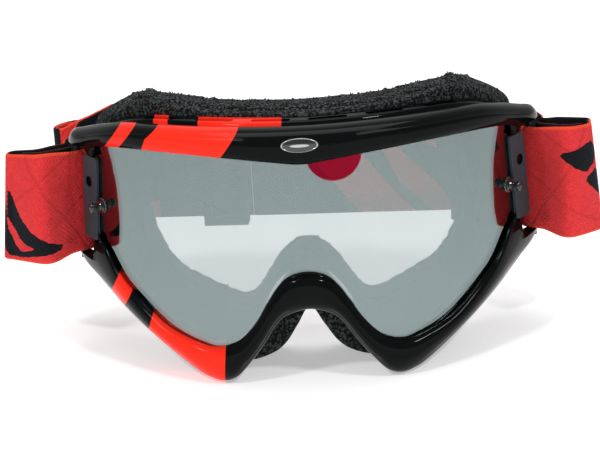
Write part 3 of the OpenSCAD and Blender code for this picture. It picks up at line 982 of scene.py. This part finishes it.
def growth_tree(name, numbers, kinds):
    """A node tree that puts instances on a mesh, with its inputs and first and last nodes in place."""
    tree = bpy.data.node_groups.new(name, "GeometryNodeTree")
    face = tree.interface
    face.new_socket("Geometry", in_out="INPUT", socket_type="NodeSocketGeometry")
    for label, (kind, value) in numbers.items():
        face.new_socket(label, in_out="INPUT", socket_type="NodeSocket" + kind).default_value = value
    face.new_socket("Surface", in_out="INPUT", socket_type="NodeSocketMaterial")
    face.new_socket("Geometry", in_out="OUTPUT", socket_type="NodeSocketGeometry")
    kinds = {"start": "NodeGroupInput", "end": "NodeGroupOutput", **kinds,
             "put": "GeometryNodeInstanceOnPoints", "real": "GeometryNodeRealizeInstances",
             "cover": "GeometryNodeSetMaterial"}
    nodes = {label: tree.nodes.new(kind) for label, kind in kinds.items()}
    wire(tree, nodes, [("put", 0, "real", 0), ("real", 0, "cover", "Geometry"),
                       ("start", "Surface", "cover", "Material"), ("cover", 0, "end", "Geometry")])
    return tree, nodes


def wire(tree, nodes, wires):
    for source, output, target, socket in wires:
        tree.links.new(nodes[source].outputs[output], nodes[target].inputs[socket])


def grow_from(piece, tree, values):
    """Runs a node tree on a piece and leaves the plain mesh that it makes."""
    growth = piece.modifiers.new("growth", "NODES")
    growth.node_group = tree
    for item in tree.interface.items_tree:
        if item.in_out == "INPUT" and item.name in values:
            growth[item.identifier] = values[item.name]
    return apply_modifiers(piece)


# ---- Straps ----


def course_points(course):
    """The strap's course from above with its corners rounded, as points a millimetre apart."""
    line = [np.array(course[0][:2], float)]
    for before, at, after in zip(course, course[1:], course[2:]):
        b, radius = np.array(at[:2], float), at[2]
        u, v = np.array(before[:2]) - b, np.array(after[:2]) - b
        u, v = u / np.linalg.norm(u), v / np.linalg.norm(v)
        half = math.acos(float(u @ v)) / 2
        middle = (u + v) / np.linalg.norm(u + v)
        centre = b + middle * radius / math.sin(half)
        first = b + u * radius / math.tan(half) - centre
        turn = (math.pi - 2 * half) * (-1 if u[0] * v[1] - u[1] * v[0] > 0 else 1)
        for a in np.linspace(0, turn, max(6, int(abs(turn) * radius / 0.6))):
            line.append(centre + [first[0] * math.cos(a) - first[1] * math.sin(a),
                                  first[0] * math.sin(a) + first[1] * math.cos(a)])
    line.append(np.array(course[-1][:2], float))
    line = np.array(line)
    run = np.concatenate([[0], np.cumsum(np.linalg.norm(np.diff(line, axis=0), axis=1))])
    keep = np.concatenate([[True], np.diff(run) > 1e-6])
    run, line = run[keep], line[keep]
    s = np.linspace(0, run[-1], int(run[-1] / 0.9) + 1)
    return s, np.column_stack([np.interp(s, run, line[:, k]) for k in (0, 1)])


def along_course(s, line, x, y):
    """Distance along the strap of the place nearest to x and y."""
    return s[np.argmin((line[:, 0] - x) ** 2 + (line[:, 1] - y) ** 2)]


def inside_by(px, py, corners):
    """Signed distance into a many-sided shape, for arrays of points."""
    corners = np.array(corners, float)
    far = np.full(px.shape, 1e9)
    inside = np.zeros(px.shape, bool)
    for (ax, ay), (bx, by) in zip(corners, np.roll(corners, -1, axis=0)):
        dx, dy = bx - ax, by - ay
        t = np.clip(((px - ax) * dx + (py - ay) * dy) / (dx * dx + dy * dy + 1e-12), 0, 1)
        far = np.minimum(far, np.hypot(px - ax - t * dx, py - ay - t * dy))
        crosses = (ay > py) != (by > py)
        inside ^= crosses & (px < (bx - ax) * (py - ay) / (by - ay + 1e-12) + ax)
    return np.where(inside, far, -far)


class GOGGLES_OT_straps(bpy.types.Operator):
    """Make both halves of the strap as thick knitted webbing"""

    bl_idname = "goggles.straps"
    bl_label = "Straps"

    # Black shapes on the outside of each strap: x, y and z of their corners, on the strap's course. The first
    # shape in each list is painted shade, blackening the strap beside its post behind the side plate.
    left_shapes = [
        # Painted shade: the strap blackened beside its post, behind the side plate
        [(-84.4, 20.5, 20), (-80, 27, 20), (-80, 27, -24), (-82.5, 25, -24)],
        [(-112.6, 5.4, 7.5), (-110.5, 5, 3), (-107.4, 4.6, -3.8), (-102.7, 4.2, -9.3), (-97.4, 4.2, -13.2),
         (-93, 7, -16.4), (-94, 6.6, -18.2), (-98.6, 4.2, -18.6), (-103.6, 4.4, -19.6), (-107, 4.6, -20.2),
         (-107.4, 4.6, -18), (-102.2, 4.3, -16.4), (-106.2, 4.6, -14), (-109.4, 5, -10), (-112.6, 5.4, -5)],
        [(-113.4, 8.2, 7), (-114, 6.6, -2), (-112.2, 5.3, -10.5), (-109.5, 4.9, -15.5), (-106.6, 4.6, -18.8),
         (-108, 4.7, -20), (-112, 5.3, -20), (-114, 8, -16)],
        [(-96, 42.2, 19.2), (-98.6, 46, 19.2), (-98.6, 46, -22.2), (-96, 42.2, -22.2)],
        [(-98.6, 47, 19.2), (-60, 51.2, 19.2), (-60, 51.2, -22.2), (-98.6, 47, -22.2)],
    ]
    left_holes = [
        [(-91, 53.8, 13), (-78, 52.7, 13), (-77, 52.6, 22), (-92, 53.8, 22)],
    ]
    right_shapes = [
        # Painted shade: the strap blackened beside its post, behind the side plate
        [(84.4, 20.5, 20), (80, 27, 20), (80, 27, -24), (82.5, 25, -24)],
        [(93.9, 5.6, 9.4), (100, 4.4, 11), (108.4, 6.6, 13), (109.6, 9, 9), (108.6, 6.8, 4.4),
         (104.6, 5.5, 2.2), (100.5, 4.7, 4.2)],
        [(103.8, 5.3, -0.4), (108.8, 7, 2.6), (109.6, 10, -2), (109.4, 9.4, -9.5)],
        [(109.6, 12.4, -12), (109.4, 12, -19), (104, 17.6, -22), (104, 17.6, -14)],
        [(-10, 46.9, 19.5), (5.2, 45.6, -2.3), (21.8, 44.3, -22.5), (43.7, 42.4, -22.5), (35.8, 43, -14.3),
         (23.6, 44, 1.7), (12, 45, 19.5)],
        [(20, 44.4, 19.5), (31.4, 43.4, 2.7), (36.7, 43, -9.3), (51.5, 41.7, -22.5), (60.3, 41, -22.5),
         (52.4, 41.6, -10.3), (39.3, 42.8, 1.7), (30, 43.6, 19.5)],
        [(38, 42.9, 19.5), (48, 42, 6), (53, 41.6, 3), (47, 42.1, 19.5)],
    ]

    # How far the strap rides up behind the foam, at places across: inner passes and outer run
    inner_rise = ([-98, -84, -75, -60, -45, -25, 0], [0, 5, 9, 11, 11, 0, 0])
    outer_rise = ([-98, -91, -84, -28, -18, 30], [0, 0.8, 0.15, 0.15, -0.1, 0])

    def ribbon(self, name, course, shapes, holes, side, settings):
        s, line = course_points(course)
        ahead = np.gradient(line, axis=0)
        ahead /= np.linalg.norm(ahead, axis=1)[:, None]
        printed = np.column_stack([-ahead[:, 1], ahead[:, 0]]) * -side
        thick = settings.thickness / MM / 2
        rim = np.array([19.9, 20.2, 20.42, HALF_W])
        across = np.concatenate([-rim[::-1], np.linspace(-19.4, 19.4, 40), rim])
        lean = np.clip((np.abs(across) - 19.7) / 0.8, 0, 1)
        half = thick * np.sqrt(1 - lean**2 * 0.97)
        widths = np.concatenate([across, across[::-1]])
        heights = np.concatenate([half, -half[::-1]])
        outer_face = np.concatenate([np.ones(len(across)), np.zeros(len(across))])
        x, y = line[:, 0], line[:, 1]
        # The loop bellies forward, leans outwards at its foot and is drawn in at the post
        loop = ease(np.abs(x), 88, 97) * (1 - ease(y, 9.5, 14)) * ease(s, 30, 36)
        fold = ease(np.abs(x), 99, 112) * (1 - ease(y, 11, 18)) * ease(s, 30, 36)
        belly = settings.bulge / MM * np.sin(np.clip((np.abs(x) - 84) / 27, 0, 1) * math.pi)
        share = widths[None, :] / HALF_W
        z = STRAP_Z + widths[None, :] * np.ones((len(s), 1))
        drawn = (1 - ease(np.abs(x), 86, 98)) * (y < 24)
        sagging = ease(np.abs(x), 89.5, 95) * (1 - ease(np.abs(x), 97, 108)) * (y < 24)
        z -= drawn[:, None] * 1.6 * ease(share, -0.2, 1) + sagging[:, None] * 0.6 * ease(-share, -0.2, 1)
        px = x[:, None] + printed[:, :1] * heights
        px = px + side * (fold[:, None] * (1.9 - 3.2 * (1 + share) / 2 * 1.5))
        before_fold = s < along_course(s, line, side * 113, 9)
        py = y[:, None] + printed[:, 1:] * heights
        py = py - (loop * belly * before_fold)[:, None] * (1 - 0.6 * share**2 - 0.3 * share)
        tail = s < 34
        px[tail] = x[tail, None] + printed[tail, :1] * heights
        py[tail] = y[tail, None] + printed[tail, 1:] * heights
        rise = np.interp(x, *(self.inner_rise if side < 0 else self.outer_rise))
        outer_run = ease(s, s[-1] - 92, s[-1] - 86) if side < 0 else 0
        low_rise = np.interp(x, *self.outer_rise)
        z += ((rise * (1 - outer_run) + low_rise * outer_run) * ease(y, 34, 38))[:, None]
        points = np.stack([px, py, z], -1)
        k = len(widths)
        n = len(s)
        i, j = np.meshgrid(np.arange(n - 1), np.arange(k), indexing="ij")
        beside = (j + 1) % k
        quads = np.stack([i * k + j, (i + 1) * k + j, (i + 1) * k + beside, i * k + beside], -1)
        quads = quads.reshape(-1, 4)
        m = k // 2
        ends = [[r * k + a, r * k + a + 1, r * k + k - 2 - a, r * k + k - 1 - a]
                for r in (0, n - 1) for a in range(m - 1)]
        mesh = bpy.data.meshes.new(name)
        mesh.from_pydata((points.reshape(-1, 3) * MM).tolist(), [], quads.tolist() + ends)
        uv = mesh.uv_layers.new(name="webbing")
        flat = np.stack([np.repeat(s, k), np.tile(widths, n)], -1)
        corner = np.array([loop_.vertex_index for loop_ in mesh.loops])
        uv.data.foreach_set("uv", (flat[corner] / 100).ravel())
        depth = np.full(n * k, -3.0)
        level = z.ravel() - STRAP_Z
        for shape in shapes:
            flat_shape = [(along_course(s, line, a, b), c - STRAP_Z) for a, b, c in shape]
            depth = np.maximum(depth, inside_by(flat[:, 0], level, flat_shape))
        for shape in holes:
            flat_shape = [(along_course(s, line, a, b), c - STRAP_Z) for a, b, c in shape]
            depth = np.minimum(depth, -inside_by(flat[:, 0], level, flat_shape))
        face = np.tile(outer_face, n)
        for label, value in (("yarn", np.where(face > 0.5, depth, -depth)),
                             ("edge", HALF_W - np.abs(np.tile(widths, n))), ("outside", face)):
            stored = mesh.attributes.new(label, "FLOAT", "POINT")
            stored.data.foreach_set("value", np.clip(value, -3, 3).astype(np.float32))
        shape = bmesh.new()
        shape.from_mesh(mesh)
        bmesh.ops.recalc_face_normals(shape, faces=shape.faces)
        shape.to_mesh(mesh)
        shape.free()
        return finish_mesh(name, mesh, 70), s[-1]

    @staticmethod
    def knit(settings):
        """Knitted jacquard: fine ribs along the strap, slubs, embossed lines darkened by painted shade, and
        ragged colour changes.
        """
        surface = Surface("knitted_webbing", roughness=0.9, specular_ior_level=0.1, sheen_weight=0.05,
                          sheen_roughness=0.4)
        uv = surface.node("ShaderNodeUVMap", {"uv_map": "webbing"})
        split = surface.node("ShaderNodeSeparateXYZ", sockets={0: uv}).socket.node
        along, across = Value(surface, split.outputs[0]) * 100.0, Value(surface, split.outputs[1]) * 100.0
        yarn, edge, outside = (surface.attribute(n) for n in ("yarn", "edge", "outside"))
        flat = surface.vector(along, across, outside * 7.0)
        fuzz = surface.node("ShaderNodeTexNoise", sockets={
            "Vector": flat, "Scale": 1.9, "Detail": 3.0, "Roughness": 0.65})
        slub = surface.node("ShaderNodeTexNoise", sockets={"Vector": flat, "Scale": 0.45, "Detail": 2.0})
        wave = (across * (math.pi / 0.95)).sine() * 1.6
        rib = (across * (2 * math.pi / 0.95)).sine() * (along * (2 * math.pi / 1.3) + wave).sine()
        steps = (along * 2.1).sine() * 0.08 + (across * 3.3).sine() * 0.06
        black = (yarn + (fuzz - 0.5) * 0.5 + steps).step(0.16)
        crease = (across * 0.82 + along * 0.57 + (slub - 0.5) * 0.8)
        lines = ((crease * (2 * math.pi / 17)).sine() - 0.985).step(0.03).most(
            (((across * 0.5 - along * 0.87) * (2 * math.pi / 23)).sine() - 0.99).step(0.02)) * outside
        bright = surface.mix(slub, [c * 0.82 for c in settings.red], [min(1, c * 1.12) for c in settings.red])
        mottled = surface.mix((fuzz - 0.52).step(0.2) * 0.4, bright, [c * 0.55 for c in settings.red])
        # Painted shade: the embossed lines darken the red, standing in for shade in their grooves
        red_with_painted_line_shade = surface.mix(lines * 0.3, mottled, [c * 0.5 for c in settings.red])
        selvedge = surface.mix((0.95 - edge).step(0.3) * 0.8, red_with_painted_line_shade, (1.0, 0.085, 0.03))
        dark = surface.mix((fuzz - 0.5).step(0.25), settings.black, [c * 2.0 for c in settings.black])
        surface.feed("Base Color", surface.mix(black, selvedge, dark))
        surface.feed("Roughness", 0.8 + fuzz * 0.2)
        surface.bump((rib * 0.55 + fuzz * 1.9 - lines * 0.9) * (1.0 - black * 0.6) + black * 0.4, 0.3)
        return surface

    def execute(self, context):
        settings = context.scene.goggles_strap
        surface = self.knit(settings)
        for name, course, shapes, holes, side in (
            ("left", LEFT_COURSE, self.left_shapes, self.left_holes, -1),
            ("right", RIGHT_COURSE, self.right_shapes, [], 1),
        ):
            piece, length = self.ribbon(name + "_webbing", course, shapes, holes, side, settings)
            paint(piece, surface)
            settle(piece, name + "_strap_half", "webbing", name + "_strap")
        return {"FINISHED"}


class GOGGLES_OT_stitches(bpy.types.Operator):
    """Sew each strap's tail down with rows of thread"""

    bl_idname = "goggles.stitches"
    bl_label = "Stitches"

    @staticmethod
    def seam_tree():
        """Puts one stitch after another along each edge of a mesh."""
        tree, nodes = growth_tree("Stitches", {"Stitch": ("Float", 0.0022), "Thread": ("Float", 0.00022)}, {
            "curve": "GeometryNodeMeshToCurve", "even": "GeometryNodeResampleCurve",
            "tangent": "GeometryNodeInputTangent", "thread": "GeometryNodeMeshIcoSphere",
            "aim": "FunctionNodeAlignRotationToVector", "size": "ShaderNodeCombineXYZ",
            "part": "ShaderNodeMath"})
        nodes["even"].mode, nodes["aim"].axis, nodes["part"].operation = "LENGTH", "Z", "MULTIPLY"
        nodes["thread"].inputs["Subdivisions"].default_value = 2
        nodes["thread"].inputs["Radius"].default_value = 1
        nodes["part"].inputs[1].default_value = 0.4
        wire(tree, nodes, [
            ("start", "Thread", "size", 0), ("start", "Thread", "size", 1), ("start", "Stitch", "part", 0),
            ("part", 0, "size", 2), ("start", "Geometry", "curve", "Mesh"), ("curve", 0, "even", "Curve"),
            ("start", "Stitch", "even", "Length"), ("even", 0, "put", "Points"),
            ("tangent", 0, "aim", "Vector"), ("aim", 0, "put", "Rotation"),
            ("thread", "Mesh", "put", "Instance"), ("size", 0, "put", "Scale")])
        return tree

    def execute(self, context):
        settings = context.scene.goggles_strap
        surface = Surface("sewing_thread", roughness=0.6, specular_ior_level=0.35, sheen_weight=0.3)
        twist = surface.noise(2.2, 2)
        surface.feed("Base Color", surface.mix(twist, (0.30, 0.01, 0.015), (0.6, 0.03, 0.03)))
        surface.bump(twist, 0.05)
        tree = self.seam_tree()
        for name, turn in TACK_TURN.items():
            low, high = (Vector(c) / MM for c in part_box(name + "_bartack"))
            middle = (low + high) / 2
            way = Vector((math.cos(math.radians(turn)), math.sin(math.radians(turn)), 0))
            seam = bpy.data.meshes.new(name)
            points, edges = [], []
            for row in range(5):
                shift = (row - 2) * 0.6
                base = middle + way * shift
                first = len(points)
                for step in range(2):
                    z = -16.3 if (step + row) % 2 else 16.3
                    points.append((base + Vector((0, 0, z))) * MM)
                edges.append((first, first + 1))
            seam.from_pydata([tuple(p) for p in points], edges, [])
            piece = bpy.data.objects.new(name + "_tack_stitches", seam)
            context.scene.collection.objects.link(piece)
            grow_from(piece, tree, {"Stitch": settings.stitch, "Thread": 0.0002, "Surface": surface.material})
            piece.data.polygons.foreach_set("use_smooth", [True] * len(piece.data.polygons))
            settle(piece, name + "_strap_half", "thread", name + "_bartack")
        return {"FINISHED"}


class GOGGLES_OT_sliders(bpy.types.Operator):
    """Make the two ladder slides behind the goggles"""

    bl_idname = "goggles.sliders"
    bl_label = "Sliders"

    def execute(self, context):
        surface = Surface("slide_black", roughness=0.4, specular_ior_level=0.4)
        grain = surface.noise(3, 3)
        wear = surface.noise(0.3, 4)
        surface.feed("Base Color", surface.mix(wear, (0.006, 0.006, 0.007), (0.02, 0.02, 0.022)))
        surface.feed("Roughness", 0.3 + grain * 0.25)
        surface.bump(grain, 0.03)
        gap, bar, wide = 0.9 + 0.35, 1.5, 18
        for name, x in (("left", -33), ("right", 66)):
            place, turn = (x, RUN_Y + RUN_SLOPE * (x - RUN_X), STRAP_Z), math.atan(RUN_SLOPE)
            tall = STRAP_W / 2 + 0.4
            boxes = [((-wide / 2, -gap - bar, tall), (wide / 2, gap + bar, tall + 3)),
                     ((-wide / 2, -gap - bar, -tall - 3), (wide / 2, gap + bar, -tall))]
            boxes += [((a, -gap - bar, -tall - 0.4), (a + 3.5, -gap, tall + 0.4))
                      for a in (-wide / 2, wide / 2 - 3.5)]
            boxes.append(((-2, gap, -tall - 0.4), (2, gap + bar, tall + 0.4)))
            bars = [rounded_box(low, high, 0.45, place, turn) for low, high in boxes]
            piece = join(name + "_slide_ladder", bars)
            paint(piece, surface)
            settle(piece, name + "_slide", "slider_black", name + "_slider")
        return {"FINISHED"}


class GOGGLES_OT_stage(bpy.types.Operator):
    """Set the floor, lights and camera"""

    bl_idname = "goggles.stage"
    bl_label = "Stage"

    def soft_box(self, name, place, aim, size, power):
        lamp = bpy.data.lights.new(name, "AREA")
        lamp.shape, lamp.size, lamp.size_y, lamp.energy = "RECTANGLE", size[0], size[1], power
        light = bpy.data.objects.new(name, lamp)
        light.location = place
        light.rotation_euler = (Vector(aim) - Vector(place)).to_track_quat("-Z", "Y").to_euler()
        bpy.context.scene.collection.objects.link(light)

    def execute(self, context):
        settings = context.scene.goggles_stage
        scene = context.scene
        world = bpy.data.worlds.new("studio")
        world.use_nodes = True
        world.node_tree.nodes["Background"].inputs[0].default_value = (1, 1, 1, 1)
        world.node_tree.nodes["Background"].inputs[1].default_value = settings.sky
        scene.world = world
        scene.view_settings.view_transform = "Standard"
        low = min(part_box(name)[0].z for name in frame["nodes"])
        mesh = bpy.data.meshes.new("floor")
        level, reach = low - 0.0004, 9
        mesh.from_pydata([(x * reach, y * reach, level) for x, y in ((-1, -1), (1, -1), (1, 1), (-1, 1))],
                         [], [(0, 1, 2, 3)])
        floor = bpy.data.objects.new("floor", mesh)
        scene.collection.objects.link(floor)
        surface = Surface("pale_floor", roughness=0.9, specular_ior_level=0.1)
        cloud = surface.noise(0.002, 2)
        shaded = [c * 0.99 for c in settings.floor]
        surface.feed("Base Color", surface.mix(cloud * 0.3, settings.floor, shaded))
        surface.feed("Emission Color", (1, 1, 1)).feed("Emission Strength", 0.4)
        paint(floor, surface)
        self.soft_box("key_left", (-0.62, -0.75, 0.95), (-0.02, 0, 0), (0.16, 0.06), settings.key)
        self.soft_box("key_right", (0.62, -0.75, 0.95), (0.02, 0, 0), (0.16, 0.06), settings.key)
        self.soft_box("top", (0, 0.35, 1.3), (0, 0, 0), (0.9, 0.7), settings.key * 1.2)
        psi, pitch, roll = (math.radians(a) for a in (VIEW_TURN, VIEW_TILT, VIEW_ROLL))
        back = Vector((math.sin(psi) * math.cos(pitch), -math.cos(psi) * math.cos(pitch), math.sin(pitch)))
        right = (-back).cross(Vector((0, 0, 1))).normalized()
        up = right.cross(-back)
        across = right * math.cos(roll) - up * math.sin(roll)
        upright = right * math.sin(roll) + up * math.cos(roll)
        camera = bpy.data.objects.new("camera", bpy.data.cameras.new("camera"))
        turn = Matrix((across, upright, back)).transposed().to_4x4()
        camera.matrix_world = Matrix.Translation(Vector(VIEW_AIM) + back * VIEW_FAR) @ turn
        camera.data.lens, camera.data.sensor_width = VIEW_LENS, 36
        camera.data.clip_start, camera.data.clip_end = 0.01, 50
        scene.collection.objects.link(camera)
        scene.camera = camera
        return {"FINISHED"}


class GOGGLES_PT_panel(bpy.types.Panel):
    """The goggles' pieces and settings"""

    bl_idname = "GOGGLES_PT_panel"
    bl_label = "Goggles"
    bl_space_type = "VIEW_3D"
    bl_region_type = "UI"
    bl_category = "Goggles"

    def draw(self, context):
        for group in SETTINGS:
            box = self.layout.box()
            box.label(text=group.__name__.replace("Goggles", ""))
            for prop in group.__annotations__:
                box.prop(getattr(context.scene, SETTINGS[group]), prop)
        for piece in PIECES:
            self.layout.operator(piece.bl_idname)


SETTINGS = {GogglesFrame: "goggles_frame", GogglesLens: "goggles_lens", GogglesFoam: "goggles_foam",
            GogglesStrap: "goggles_strap", GogglesStage: "goggles_stage"}
PIECES = [GOGGLES_OT_stage, GOGGLES_OT_front_frame, GOGGLES_OT_rear_frame, GOGGLES_OT_lens,
          GOGGLES_OT_side_plates, GOGGLES_OT_badge, GOGGLES_OT_posts, GOGGLES_OT_foam, GOGGLES_OT_straps,
          GOGGLES_OT_stitches, GOGGLES_OT_sliders]


def register():
    for group, name in SETTINGS.items():
        bpy.utils.register_class(group)
        setattr(bpy.types.Scene, name, PointerProperty(type=group))
    for piece in (*PIECES, GOGGLES_PT_panel):
        bpy.utils.register_class(piece)


def unregister():
    for piece in (GOGGLES_PT_panel, *reversed(PIECES)):
        bpy.utils.unregister_class(piece)
    for group, name in SETTINGS.items():
        delattr(bpy.types.Scene, name)
        bpy.utils.unregister_class(group)


def main():
    register()
    for piece in PIECES:
        group, name = piece.bl_idname.split(".")
        getattr(getattr(bpy.ops, group), name)()


if __name__ == "__main__":
    main()
